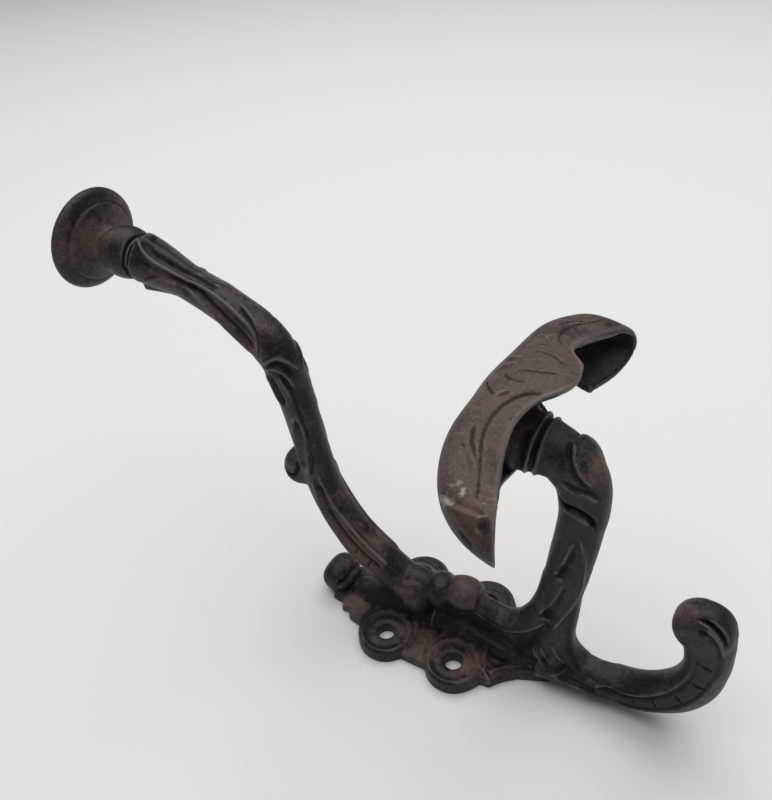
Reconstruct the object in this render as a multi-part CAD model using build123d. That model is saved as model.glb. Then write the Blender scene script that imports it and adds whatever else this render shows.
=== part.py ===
from build123d import *
import math
import os

# Double coat hook with a shell-shaped rest between its two hooks: one iron casting.
# Frame: the back of the wall plate lies on z = 0 and +Z points out from the wall.
# +X points down the wall, towards the lower hook, and -X up, towards the knob.
# The parting plane of the casting is y = 0. Lengths are in millimetres, angles in degrees.

# Screws, in a rectangle about the origin
SCREW_SPACING_X = 28.0
SCREW_SPACING_Y = 30.0
SCREW_HOLE_R = 3.2

# Wall plate: a flat leaf that carries a scroll boss round each screw
PLATE_THICKNESS = 3.8
PLATE_SHOULDER = 5.5        # how far the straight edge beside the bosses lies outside the screws
SHOULDER_RUN = 7.0          # length of that edge beyond each screw
SHOULDER_FALL = 3.5         # how far the edge has fallen in there
UPPER_SPURS = [(-23.4, -6.0), (-22.0, -2.8), (-19.0, -3.2), (-17.0, -0.6)]   # from the upper screws
LOWER_SPUR = (14.6, 1.6)    # tip of the pointed spur, from the lower screws
TAIL_EDGE = [(22.0, 8.6), (29.4, 5.3), (33.0, 3.9)]     # beyond the lower screws, and its half width

# Scroll boss
BOSS_R = 10.2
BOSS_HEIGHT = 5.8
BOSS_RIM = 1.3
BOSS_BEVEL = 0.7
BOSS_DRAFT = 0.3            # the boss is this much wider at the wall
BOSS_DISH = 1.5             # depth of the ring-shaped hollow inside the rim
BOSS_STEP = 0.5             # how far the sides of that hollow slope in
BOSS_SEAT_R = 5.6           # raised seat under the screw head
BOSS_SEAT_DROP = 0.5
SCREW_LEAD_IN = 0.9
VOLUTE_R = 11.6             # lower outer turn of the scroll
VOLUTE_SHIFT = 2.0          # that turn is off centre, towards the middle of the plate
VOLUTE_DROP = 1.0

# Rolled top end of the plate
ROLL_R = 6.2
ROLL_FROM_SCREW = 28.6
ROLL_HALF_WIDTH = 8.6
ROLL_BAND = 1.5             # thickness of the rolled leaf, seen from the side
ROLL_EYE_R = 3.0
ROLL_EYE_SHIFT = -1.2
ROLL_SINK = 1.6

# Spine: the rounded ridge along the middle of the plate, as x, half width and height
SPINE = [(-40.0, 4.6, 5.4), (-28.0, 7.0, 8.5), (-10.0, 6.6, 12.5), (12.0, 6.6, 13.0), (32.0, 6.8, 12.0),
         (46.0, 3.6, 10.0)]

# Root: ball, collar and bead in a row above the spine, as x, z and radius
BALL = (-8.0, 18.0, 7.4)
COLLAR = (2.6, 21.4, 6.9)
COLLAR_HALF_LENGTH = 2.2
COLLAR_END_R = 5.7
BEAD = (11.8, 24.4, 6.5)
BEAD_HALF_LENGTH = 5.6
BEAD_END_R = 4.9
CORE_R = 4.6                # what joins the three

# Upper arm: middle line as (x, z), and its elliptical section at even steps along that line
UPPER_LINE = [(-8.0, 15.0), (-22.0, 24.5), (-35.5, 36.5), (-43.9, 51.5), (-48.9, 73.0),
              (-52.4, 92.6), (-58.0, 109.6), (-72.4, 120.0), (-92.4, 128.2), (-113.0, 134.0)]
ARM_HALF_THICK = 6.5
ARM_HALF_WIDTH = 5.7
UPPER_SCALE = [1.2, 1.18, 1.13, 1.02, 0.98, 1.03, 1.17, 0.97, 0.91, 0.93]

# Leaf edges that wrap the upper arm: share of its length, angle round it from the front, height
LEAF_EDGE = [(0.955, 25, 0.4), (0.92, 58, 1.3), (0.84, 68, 1.4), (0.75, 64, 1.4), (0.68, 72, 1.5),
             (0.63, 95, 1.5), (0.595, 132, 1.4), (0.575, 165, 0.5)]
LEAF_FOLD = [(0.86, 82, 0.4), (0.80, 96, 1.2), (0.73, 106, 1.3), (0.66, 118, 1.2), (0.61, 138, 0.4)]
LEAF_CUFF = [(0.585, 158, 0.5), (0.56, 120, 1.4), (0.545, 85, 1.4), (0.52, 55, 1.1), (0.49, 34, 0.4)]
LEAF_EDGE_STEPS = 14
LEAF_TIP = [(-111.0, 122.0), (-111.0, 130.0), (-96.0, 128.0), (-84.0, 120.6), (-95.0, 122.6)]
LEAF_TIP_HALF_WIDTH = 3.0

# Knob on the end of the upper arm, behind a collar bead
KNOB_BEAD_AT = (-119.8, 134.2)
KNOB_BEAD_R = 9.0
KNOB_BEAD_HALF = 4.4
KNOB_BEAD_END_R = 6.9
KNOB_TILT = 8.0             # the knob looks up a little
KNOB_NECK_R = 6.3
KNOB_STUB = 4.0             # how far the neck runs on into the arm
KNOB_R = 18.3
KNOB_FLANGE_FROM_BEAD = 12.2
KNOB_LIP_R = 15.3           # where the hollow back of the flange meets its rim
KNOB_STEP = 0.6
KNOB_RIM = 3.4
KNOB_RIM_ROUNDING = 1.6
KNOB_DOME = 4.6

# Curl on the underside of the upper arm, and the thin leaf that runs down into it
CURL_AT = (-56.6, 60.6)
CURL_R = 4.3
CURL_HALF_WIDTH = 3.6
CURL_ROUNDING = 1.0
CURL_EYE_R = 1.2
CURL_SINK = 0.7
CURL_LEAF = [(-58.0, 98.0), (-57.6, 86.0), (-57.2, 74.0), (-60.2, 62.5), (-54.0, 57.0), (-47.0, 66.0),
             (-52.0, 92.0)]
CURL_LEAF_HALF_WIDTH = 2.6

# Sunk panels, with cross notches, in the sides of the upper arm's foot and of the lower hook
PANEL_DEPTH = 0.9
PANEL_HALF_HEIGHT = 2.6
PANEL_STEPS = 8
NOTCH_WIDTH = 0.9
NOTCH_DEPTH = 0.6
UPPER_PANEL = (0.10, 0.36)
UPPER_NOTCHES = [0.135, 0.155]
HOOK_PANEL = (0.28, 0.90)
HOOK_PANEL_OFFSET = 1.2     # the panel lies nearer the outside of the bend
HOOK_NOTCHES = [0.40, 0.49, 0.58, 0.67, 0.77]

# Middle arm: round bar from the bead, and the shaft that it runs into, with its leaf bracket
BAR_LINE = [(14.0, 24.0), (21.5, 21.4), (27.5, 20.2), (33.5, 22.8), (38.5, 29.0), (42.5, 39.0), (45.0, 52.0)]
BAR_R = [3.6, 3.8, 4.1, 4.5, 4.8, 5.0, 5.2]
SHAFT_LINE = [(48.6, 4.0), (47.6, 20.0), (47.4, 33.0), (46.8, 46.0), (48.2, 60.0), (49.8, 74.0), (50.5, 86.0),
              (48.8, 95.5), (44.4, 101.6)]
SHAFT_HALF_THICK = [5.2, 4.7, 4.9, 6.2, 7.1, 7.2, 7.2, 8.0, 8.6]
SHAFT_HALF_WIDTH = [6.4, 5.8, 5.6, 5.7, 5.8, 5.8, 6.0, 7.0, 7.8]
BRACKET = [(-6.0, 6.0), (-2.0, 17.0), (10.0, 21.0), (22.0, 18.6), (30.0, 17.4), (36.0, 21.0), (44.0, 33.0),
           (47.0, 42.0), (50.0, 34.0), (50.0, 6.0)]
BRACKET_HALF_WIDTH = 3.4
LEAF_POCKETS = [[(38.4, 19.5), (45.4, 16.0), (44.6, 25.0)], [(42.0, 38.0), (46.8, 36.0), (47.0, 47.0)]]
LEAF_POCKET_FLOOR = 2.4     # distance of a pocket's floor from the parting plane

# Neck between the elbow and the shell, and the round pad it ends in
NECK_LINE = [(47.0, 100.0), (41.0, 103.2), (34.0, 104.8), (27.0, 106.6), (20.4, 109.4)]
NECK_R = [7.2, 7.5, 8.2, 9.2, 9.2]
PAD_AT = (31.4, 105.2)
PAD_R = 10.4
PAD_HALF_THICKNESS = 1.1
PAD_EDGE_R = 9.6
PAD_TILT = 12.0

# Shell-shaped rest, hollow underneath. Sections of one half: distance y from the middle, then the
# places (x, z) of the front rim, the crown and the rear rim there
SHELL_SECTIONS = [(0.0, (45.4, 128.4), (17.6, 119.2), (30.4, 93.4)),
                  (7.0, (43.4, 128.6), (18.0, 119.0), (30.2, 94.2)),
                  (13.0, (39.2, 128.0), (18.8, 118.6), (30.6, 95.9)),
                  (20.0, (36.4, 126.1), (19.7, 118.8), (32.2, 97.8)),
                  (30.0, (37.2, 124.1), (21.2, 119.4), (35.6, 99.2)),
                  (40.0, (40.2, 122.4), (24.0, 118.7), (39.5, 100.5)),
                  (48.0, (43.2, 120.8), (28.3, 117.6), (43.2, 102.2)),
                  (53.0, (45.2, 118.2), (33.8, 115.6), (45.8, 106.0)),
                  (55.6, (46.3, 115.1), (40.2, 113.4), (46.7, 109.4)),
                  (56.5, (46.7, 113.2), (44.4, 112.6), (46.9, 111.2))]
SHELL_WALL = 2.6
SHELL_OPENING = 12.0        # how far the cutter of the hollow runs on below the rims
SHELL_FULLNESS = 0.88       # exponent of the section: 1 is an ellipse, less is squarer
SHELL_TILT = -4.1           # it sits a little askew on its neck
SHELL_CENTRE = (30.0, 115.0)
SHELL_ARC_STEPS = 8
THINNEST = 0.1              # share of a section that is left where the wall would fill it

# Lower hook: middle line as (x, z), its elliptical section at even steps, and the roll at its end
HOOK_LINE = [(42.0, 7.0), (52.0, 8.4), (61.0, 8.6), (70.0, 9.5), (79.2, 12.7), (86.6, 18.3), (91.3, 26.0),
             (93.4, 35.0), (92.8, 45.0)]
HOOK_HALF_THICK = [6.0, 6.5, 6.4, 6.5, 7.3, 7.7, 7.0, 6.5, 6.0]
HOOK_HALF_WIDTH = [7.4, 7.2, 6.3, 5.7, 5.6, 5.6, 5.6, 5.5, 5.2]
HOOK_ROLL_AT = (89.4, 52.0)
HOOK_ROLL_R = 8.8
HOOK_ROLL_HALF_WIDTH = 5.8
HOOK_ROLL_ROUNDING = 3.2
HOOK_ROLL_TURN_R = 5.4
HOOK_ROLL_EYE_R = 3.2
HOOK_ROLL_EYE_SHIFT = -1.4
HOOK_ROLL_SINK = 0.8

LIMB_STEP = 12.5            # longest distance between two sections of an arm
FAR = 200.0                 # reach of a cutter that clears everything on its side


def at(x, z, y=0.0):
    """A point in the parting plane, or y to one side of it."""
    return Vector(x, y, z)


def both_sides(solid):
    """The solid with its mirror image across the parting plane."""
    return [solid, mirror(solid, about=Plane.XZ)]


def slab(face, half_width):
    """An outline in the parting plane, made a plate that reaches half_width to each side."""
    return extrude(face, amount=half_width, both=True)


def outline(points):
    """A closed face in the parting plane with a smooth edge through the given (x, z) points."""
    return make_face(Spline([at(x, z) for x, z in points], periodic=True))


def corners(points):
    """A closed face in the parting plane with straight edges."""
    return make_face(Polyline([at(x, z) for x, z in points], close=True))


def disc(x, z, radius, half_width):
    """A round plate across the parting plane."""
    return slab(Plane(at(x, z), x_dir=(1, 0, 0), z_dir=(0, -1, 0)) * Circle(radius), half_width)


def oval(half_wide, half_thick):
    """An elliptical face whose seam is always on the same side, so that a loft doesn't twist."""
    turns = [math.radians(45 * k) for k in range(8)]
    return make_face(Spline([(half_wide * math.cos(a), half_thick * math.sin(a)) for a in turns], periodic=True))


def blend(sizes, share):
    """The size at a share of a length, between sizes that are given at even steps along it."""
    step = share * (len(sizes) - 1)
    i = min(int(step), len(sizes) - 2)
    return sizes[i] + (sizes[i + 1] - sizes[i]) * (step - i)


def limb(line, half_thick, half_wide):
    """A cast arm: oval sections square to its middle line, at even steps, lofted."""
    path = Spline([at(x, z) for x, z in line])
    steps = max(len(half_thick) - 1, math.ceil(path.length / LIMB_STEP))
    faces = []
    for share in [i / steps for i in range(steps + 1)]:
        plane = Plane(path @ share, x_dir=(0, 1, 0), z_dir=path % share)
        faces.append(plane * oval(blend(half_wide, share), blend(half_thick, share)))
    return loft(faces)


def barrel(x, z, direction, radius, half_length, end_radius):
    """A bead with bulging sides, along an axis in the parting plane."""
    low, high = Vector(end_radius, 0, -half_length), Vector(end_radius, 0, half_length)
    side = ThreePointArc(low, Vector(radius, 0, 0), high)
    ends = Polyline(high, Vector(0, 0, half_length), Vector(0, 0, -half_length), low)
    face = make_face([side, *ends.edges()])
    return Plane(at(x, z), x_dir=(0, 1, 0), z_dir=direction) * revolve(face, Axis.Z)


def scroll_sinks(x, z, turn_r, eye_r, eye_shift, half_width, sink):
    """Cutters for the crescents sunk round the eye of a scroll, one in each side."""
    crescent = disc(x, z, turn_r, sink) - disc(x + eye_shift, z, eye_r, sink)
    return both_sides(Pos(0, half_width, 0) * crescent)


def side_panel(path, start, end, offset, half_width):
    """Cutter for a sunk panel that follows a middle line along one side of an arm."""
    outer, inner = [], []
    for i in range(PANEL_STEPS + 1):
        t = start + (end - start) * i / PANEL_STEPS
        along = path % t
        across = Vector(along.Z, 0, -along.X)
        middle = (path @ t) + across * offset
        taper = math.sin(math.pi * (i + 0.7) / (PANEL_STEPS + 1.4)) ** 0.35
        outer.append(middle + across * PANEL_HALF_HEIGHT * taper)
        inner.append(middle - across * PANEL_HALF_HEIGHT * taper)
    ends = [Line(outer[-1], inner[-1]), Line(inner[0], outer[0])]
    face = make_face([Spline(outer), ends[0], Spline(inner[::-1]), ends[1]])
    return extrude(Pos(0, half_width - PANEL_DEPTH, 0) * face, amount=FAR, dir=(0, 1, 0))


def cross_notch(path, t, offset, half_width):
    """Cutter for one cross notch in the floor of a sunk panel."""
    along = path % t
    across = Vector(along.Z, 0, -along.X)
    middle = (path @ t) + across * offset + Vector(0, half_width - PANEL_DEPTH, 0)
    box = Box(NOTCH_WIDTH, 2 * PANEL_HALF_HEIGHT, 2 * NOTCH_DEPTH)
    return Plane(middle, x_dir=along, z_dir=(0, 1, 0)) * box


# ---- wall plate -------------------------------------------------------------------------------

SCREW_X = SCREW_SPACING_X / 2
SCREW_Y = SCREW_SPACING_Y / 2
ROLL_X = -SCREW_X - ROLL_FROM_SCREW


def screw_places():
    """Middle of each screw hole, as (x, y)."""
    return [(sx * SCREW_X, sy * SCREW_Y) for sx in (-1, 1) for sy in (-1, 1)]


def plate_leaf():
    """Flat outline of the plate: small spurs, shoulder beside the bosses, pointed spur and tail."""
    shoulder = SCREW_Y + PLATE_SHOULDER
    fallen = shoulder - SHOULDER_FALL
    spur = (SCREW_X + LOWER_SPUR[0], SCREW_Y + LOWER_SPUR[1])
    tail = [(SCREW_X + dx, half_width) for dx, half_width in TAIL_EDGE]
    top = Polyline((ROLL_X, 0), (ROLL_X, ROLL_HALF_WIDTH),
                   *[(dx - SCREW_X, SCREW_Y + dy) for dx, dy in UPPER_SPURS],
                   (-SCREW_X - SHOULDER_RUN, fallen), (-SCREW_X, shoulder),
                   (SCREW_X, shoulder), (SCREW_X + SHOULDER_RUN, fallen), spur)
    end = Polyline(tail[-1], (tail[-1][0], 0), (ROLL_X, 0))
    return both_sides(extrude(make_face([*top.edges(), Spline(spur, *tail), *end.edges()]), amount=PLATE_THICKNESS))


def boss():
    """Scroll boss on its own axis: bevelled rim, ring-shaped hollow and raised seat."""
    rim_top = BOSS_R - BOSS_BEVEL
    rim_in = rim_top - BOSS_RIM
    floor = BOSS_HEIGHT - BOSS_DISH
    seat = BOSS_HEIGHT - BOSS_SEAT_DROP
    points = [(0, 0), (BOSS_R + BOSS_DRAFT, 0), (BOSS_R, BOSS_HEIGHT - BOSS_BEVEL), (rim_top, BOSS_HEIGHT),
              (rim_in, BOSS_HEIGHT), (rim_in - BOSS_STEP, floor), (BOSS_SEAT_R + BOSS_STEP, floor),
              (BOSS_SEAT_R, seat), (SCREW_HOLE_R + SCREW_LEAD_IN, seat), (SCREW_HOLE_R, seat - SCREW_LEAD_IN),
              (0, seat - SCREW_LEAD_IN)]
    return revolve(corners(points), Axis.Z)


def volute():
    """Outer turn of a scroll: a lower disc with a bevelled edge."""
    body = Cylinder(VOLUTE_R, BOSS_HEIGHT - VOLUTE_DROP, align=(Align.CENTER, Align.CENTER, Align.MIN))
    return chamfer(body.edges().group_by(Axis.Z)[-1], BOSS_BEVEL)


def plate_roll():
    """The rolled top end of the plate: a short barrel with a scroll sunk in each side."""
    roll = disc(ROLL_X, ROLL_R, ROLL_R, ROLL_HALF_WIDTH)
    for sunk in scroll_sinks(ROLL_X, ROLL_R, ROLL_R - ROLL_BAND, ROLL_EYE_R, ROLL_EYE_SHIFT,
                             ROLL_HALF_WIDTH, ROLL_SINK):
        roll -= sunk
    return roll


def spine():
    """Rounded ridge along the middle of the plate, flat underneath."""
    faces = [Plane(at(x, 0), x_dir=(0, 1, 0), z_dir=(1, 0, 0)) * oval(half_width, height)
             for x, half_width, height in SPINE]
    return loft(faces) - Pos(0, 0, -FAR / 2) * Box(FAR, FAR, FAR)


def wall_plate():
    """Plate, roll, spine and scroll bosses, with the screw holes still to be drilled."""
    leaf = plate_leaf()
    plate = leaf[0] + leaf[1]
    for x, y in screw_places():
        plate += Pos(x, y - math.copysign(VOLUTE_SHIFT, y), 0) * volute()
    for x, y in screw_places():
        plate -= Pos(x, y, 0) * Cylinder(BOSS_R, 2 * BOSS_HEIGHT)
    for x, y in screw_places():
        plate += Pos(x, y, 0) * boss()
    return plate + plate_roll() + spine()


def root():
    """Ball, collar and bead in a row, and the core that joins them."""
    ball = Pos(BALL[0], 0, BALL[1]) * Sphere(BALL[2])
    row = Vector(BEAD[0] - BALL[0], 0, BEAD[1] - BALL[1])
    collar = barrel(COLLAR[0], COLLAR[1], row, COLLAR[2], COLLAR_HALF_LENGTH, COLLAR_END_R)
    bead = barrel(BEAD[0], BEAD[1], (1, 0, 0), BEAD[2], BEAD_HALF_LENGTH, BEAD_END_R)
    core = limb([BALL[:2], COLLAR[:2], BEAD[:2]], [CORE_R] * 3, [CORE_R] * 3)
    return [ball, collar, bead, core]


# ---- upper arm --------------------------------------------------------------------------------

UPPER_PATH = Spline([at(x, z) for x, z in UPPER_LINE])


def on_upper(share, angle):
    """A point on the upper arm's surface, angle degrees round from its front."""
    along = UPPER_PATH % share
    front = Vector(along.Z, 0, -along.X)
    scale = blend(UPPER_SCALE, share)
    thick = ARM_HALF_THICK * scale * math.cos(math.radians(angle))
    wide = ARM_HALF_WIDTH * scale * math.sin(math.radians(angle))
    return (UPPER_PATH @ share) + front * thick + Vector(0, wide, 0)


def leaf_edge(stations):
    """A sharp leaf edge that winds over the upper arm: square sections standing on one corner."""
    shares, angles, heights = zip(*stations)
    steps = [i / LEAF_EDGE_STEPS for i in range(LEAF_EDGE_STEPS + 1)]
    feet = [on_upper(blend(shares, step), blend(angles, step)) for step in steps]
    faces = []
    for i, step in enumerate(steps):
        along = feet[min(i + 1, LEAF_EDGE_STEPS)] - feet[max(i - 1, 0)]
        outward = feet[i] - UPPER_PATH @ blend(shares, step)
        plane = Plane(feet[i], x_dir=outward.cross(along), z_dir=along)
        faces.append(plane * RegularPolygon(blend(heights, step), 4))
    return loft(faces, ruled=True)


def knob():
    """Collar bead, concave neck, flange with a bevelled back and a low domed face."""
    tilt = math.radians(KNOB_TILT)
    axis = Vector(-math.cos(tilt), 0, math.sin(tilt))
    rim_back = KNOB_FLANGE_FROM_BEAD
    face_at = rim_back + KNOB_RIM
    lip = at(KNOB_LIP_R, rim_back - KNOB_STEP)
    rim_start = at(KNOB_LIP_R + KNOB_STEP, rim_back)
    rim_end = at(KNOB_R - KNOB_RIM_ROUNDING, face_at)
    throat = at(KNOB_NECK_R, KNOB_BEAD_HALF)
    hollow = Spline([throat, at(KNOB_NECK_R + 2.4, rim_back - 4.4), lip])
    rim = ThreePointArc(rim_start, at(KNOB_R, rim_back + KNOB_RIM / 2), rim_end)
    top = at(0, face_at + KNOB_DOME)
    dome = TangentArc(top, rim_end, tangent=(1, 0, 0))
    back_end = -KNOB_BEAD_HALF - KNOB_STUB
    core = Polyline(top, at(0, back_end), at(KNOB_NECK_R, back_end), throat)
    face = make_face([hollow, Line(lip, rim_start), rim, dome, *core.edges()])
    body = Plane(at(*KNOB_BEAD_AT), x_dir=(0, 1, 0), z_dir=axis) * revolve(face, Axis.Z)
    return body + barrel(*KNOB_BEAD_AT, axis, KNOB_BEAD_R, KNOB_BEAD_HALF, KNOB_BEAD_END_R)


def curl():
    """Small scroll under the arm, with a crescent sunk in each side, and the thin leaf above it."""
    scroll = disc(*CURL_AT, CURL_R, CURL_HALF_WIDTH)
    scroll = fillet(scroll.edges(), CURL_ROUNDING)
    for sunk in scroll_sinks(*CURL_AT, CURL_R - CURL_ROUNDING, CURL_EYE_R, 0, CURL_HALF_WIDTH, CURL_SINK):
        scroll -= sunk
    return slab(outline(CURL_LEAF), CURL_LEAF_HALF_WIDTH) + scroll


def upper_arm():
    """Arm with a sunk panel in each side of its foot, wrapped leaf edges, curl and knob."""
    thick = [ARM_HALF_THICK * scale for scale in UPPER_SCALE]
    wide = [ARM_HALF_WIDTH * scale for scale in UPPER_SCALE]
    arm = limb(UPPER_LINE, thick, wide)
    side = wide[2]
    cutters = [side_panel(UPPER_PATH, *UPPER_PANEL, 0, side)]
    cutters += [cross_notch(UPPER_PATH, t, 0, side) for t in UPPER_NOTCHES]
    for cutter in cutters:
        for one in both_sides(cutter):
            arm -= one
    for stations in (LEAF_EDGE, LEAF_FOLD, LEAF_CUFF):
        for one in both_sides(leaf_edge(stations)):
            arm += one
    arm += slab(corners(LEAF_TIP), LEAF_TIP_HALF_WIDTH)
    return [arm, curl(), knob()]


# ---- middle arm and shell ---------------------------------------------------------------------

def shaft():
    """Shaft from the plate to the elbow, with the pockets between the leaves on each side."""
    body = limb(SHAFT_LINE, SHAFT_HALF_THICK, SHAFT_HALF_WIDTH)
    body += slab(corners(BRACKET), BRACKET_HALF_WIDTH)
    for points in LEAF_POCKETS:
        cutter = extrude(Pos(0, LEAF_POCKET_FLOOR, 0) * corners(points), amount=FAR, dir=(0, 1, 0))
        for one in both_sides(cutter):
            body -= one
    return body


def middle_arm():
    """Round bar, shaft with its leaf bracket, neck, and the pad under the shell."""
    tilt = math.radians(PAD_TILT)
    axis = Vector(-math.cos(tilt), 0, math.sin(tilt))
    pad = barrel(*PAD_AT, axis, PAD_R, PAD_HALF_THICKNESS, PAD_EDGE_R)
    return [shaft(), limb(BAR_LINE, BAR_R, BAR_R), limb(NECK_LINE, NECK_R, NECK_R), pad]


def shell_section(i, side, wall, opening):
    """One section of the shell, from front rim over the crown to rear rim, inset by the wall.

    The face is closed straight across, or with an opening, that far below the rims."""
    y, front, crown, rear = SHELL_SECTIONS[i]
    front, crown, rear = [at(x, z, side * y) for x, z in (front, crown, rear)]
    middle = (front + rear) * 0.5
    half = front - middle
    depth = crown - middle
    half *= max(1 - wall / half.length, THINNEST)
    depth *= max(1 - wall / depth.length, THINNEST)
    points = []
    for k in range(SHELL_ARC_STEPS + 1):
        angle = math.pi * k / SHELL_ARC_STEPS
        along = math.copysign(abs(math.cos(angle)) ** SHELL_FULLNESS, math.cos(angle))
        points.append(middle + half * along + depth * math.sin(angle) ** SHELL_FULLNESS)
    below = depth.normalized() * -opening
    closing = Polyline(points[-1], points[-1] + below, points[0] + below, points[0]) if opening else Line(
        points[-1], points[0])
    return make_face([Spline(points), *closing.edges()])


def shell_body(last, wall, opening):
    """Loft of the shell's sections from one tip to the other, or of its hollow."""
    ring = [(i, -1) for i in range(last, 0, -1)] + [(i, 1) for i in range(last + 1)]
    return loft([shell_section(i, side, wall, opening) for i, side in ring])


def shell():
    """The hollow rest: outside less hollow, turned a little on its neck."""
    last = len(SHELL_SECTIONS) - 1
    cup = shell_body(last, 0, 0) - shell_body(last - 1, SHELL_WALL, SHELL_OPENING)
    return cup.rotate(Axis(at(*SHELL_CENTRE), (1, 0, 0)), SHELL_TILT)


# ---- lower hook -------------------------------------------------------------------------------

def lower_hook():
    """Tapering hook with a notched panel in each side, and the roll at its end."""
    path = Spline([at(x, z) for x, z in HOOK_LINE])
    hook = limb(HOOK_LINE, HOOK_HALF_THICK, HOOK_HALF_WIDTH)
    side = max(HOOK_HALF_WIDTH[3:])
    cutters = [side_panel(path, *HOOK_PANEL, HOOK_PANEL_OFFSET, side)]
    cutters += [cross_notch(path, t, HOOK_PANEL_OFFSET, side) for t in HOOK_NOTCHES]
    for cutter in cutters:
        for one in both_sides(cutter):
            hook -= one
    roll = disc(*HOOK_ROLL_AT, HOOK_ROLL_R, HOOK_ROLL_HALF_WIDTH)
    roll = fillet(roll.edges(), HOOK_ROLL_ROUNDING)
    for sunk in scroll_sinks(*HOOK_ROLL_AT, HOOK_ROLL_TURN_R, HOOK_ROLL_EYE_R, HOOK_ROLL_EYE_SHIFT,
                             HOOK_ROLL_HALF_WIDTH, HOOK_ROLL_SINK):
        roll -= sunk
    return [hook, roll]


# ---- the casting ------------------------------------------------------------------------------

def coat_hook():
    """The whole casting, with its four screw holes."""
    body = wall_plate()
    for piece in root() + middle_arm() + lower_hook() + upper_arm() + [shell()]:
        body += piece
    for x, y in screw_places():
        body -= Pos(x, y, 0) * Cylinder(SCREW_HOLE_R, 4 * BOSS_HEIGHT)
    return body


os.makedirs("parts", exist_ok=True)
casting = coat_hook()
print("coat_hook", casting.is_valid, len(casting.solids()), round(casting.volume))
export_step(casting, "parts/coat_hook.step")
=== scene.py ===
import bmesh
import bpy
import numpy as np
from mathutils import Matrix, Vector


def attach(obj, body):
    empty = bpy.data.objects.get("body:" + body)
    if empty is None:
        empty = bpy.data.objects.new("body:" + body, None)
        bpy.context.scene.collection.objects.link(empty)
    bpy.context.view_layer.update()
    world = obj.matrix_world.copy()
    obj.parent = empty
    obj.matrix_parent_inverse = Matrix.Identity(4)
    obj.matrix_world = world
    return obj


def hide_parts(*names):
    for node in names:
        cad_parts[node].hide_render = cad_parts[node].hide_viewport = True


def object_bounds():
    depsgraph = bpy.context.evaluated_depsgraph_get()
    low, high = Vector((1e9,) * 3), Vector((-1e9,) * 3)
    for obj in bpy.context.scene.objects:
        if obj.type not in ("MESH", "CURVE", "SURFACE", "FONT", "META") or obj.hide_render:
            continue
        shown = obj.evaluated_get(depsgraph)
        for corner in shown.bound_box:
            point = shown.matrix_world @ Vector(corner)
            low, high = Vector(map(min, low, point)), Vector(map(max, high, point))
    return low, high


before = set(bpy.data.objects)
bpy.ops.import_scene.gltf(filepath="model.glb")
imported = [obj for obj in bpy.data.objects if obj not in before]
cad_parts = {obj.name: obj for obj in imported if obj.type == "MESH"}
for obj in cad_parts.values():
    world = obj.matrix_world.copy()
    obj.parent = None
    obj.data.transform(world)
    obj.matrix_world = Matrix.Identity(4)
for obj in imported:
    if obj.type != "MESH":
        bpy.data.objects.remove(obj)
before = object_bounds()

# An antique coat and hat hook, cast in iron in one piece. Each section below makes one form of
# the pattern, in millimetres, and then its carving; near the end they are fused into one casting.
# The back of the plate lies on z = 0, x runs down the wall and y across, about the middle plane.


# ---- Wall plate -------------------------------------------------------------------------------
# A flat leaf of iron that was cast with spurs along its edge and filed flat at the back. The
# rounded spine that runs along its middle carries the arms, and its top end is rolled up.

PLATE_EDGE = [(-42.6, 0.0), (-42.6, 8.4), (-37.6, 8.8), (-36.0, 12.0), (-33.2, 11.6), (-31.2, 14.2),
              (-26.0, 15.2), (-21.0, 17.0), (-14.0, 20.4), (0.0, 20.6), (14.0, 20.4), (21.0, 17.2),
              (28.6, 16.4), (32.0, 12.0), (36.0, 8.6), (43.4, 5.4), (47.0, 3.9), (47.0, 0.0)]
PLATE_LEVELS = [(0.0, 1.0), (2.9, 1.0), (3.6, 0.985), (3.8, 0.965)]
SCREWS = [(-14.0, -15.0), (-14.0, 15.0), (14.0, -15.0), (14.0, 15.0)]
SCREW_HOLE_R = 3.2
SPINE = [(-38.6, 4.6, 3.0), (-35.0, 6.2, 6.4), (-27.0, 7.2, 8.7), (-10.0, 6.6, 12.5), (12.0, 6.6, 13.0),
         (32.0, 6.8, 12.0), (46.0, 3.6, 10.0)]
ROLL_AT, ROLL_HALF_LENGTH, ROLL_R = (-43.2, 0.0, 7.0), 7.6, 6.4

# The forms of the pattern as they are made, and the drills that cut its holes.
forms, drills = [], []


def skin(name, rings, loop=False):
    """A closed form from rings of points: quads join each ring to the next and, with loop, the
    last to the first; without it a fan round the ring's middle closes each end."""
    rings = np.asarray(rings, float)
    count, size = rings.shape[:2]
    points = rings.reshape(-1, 3)
    row, step = np.meshgrid(np.arange(count if loop else count - 1), np.arange(size), indexing="ij")
    after, beside = (row + 1) % count, (step + 1) % size
    quads = np.stack([row * size + step, row * size + beside, after * size + beside, after * size + step], -1)
    faces = quads.reshape(-1, 4).tolist()
    if not loop:
        step = np.arange(size)
        beside = (step + 1) % size
        last = (count - 1) * size
        low, high = np.full(size, len(points)), np.full(size, len(points) + 1)
        faces += np.stack([beside, step, low], -1).tolist()
        faces += np.stack([last + step, last + beside, high], -1).tolist()
        points = np.vstack([points, rings[0].mean(0), rings[-1].mean(0)])
    mesh = bpy.data.meshes.new(name)
    mesh.from_pydata(points / 1000, [], faces)
    form = bpy.data.objects.new(name, mesh)
    bpy.context.collection.objects.link(form)
    forms.append(form)
    return form


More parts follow.
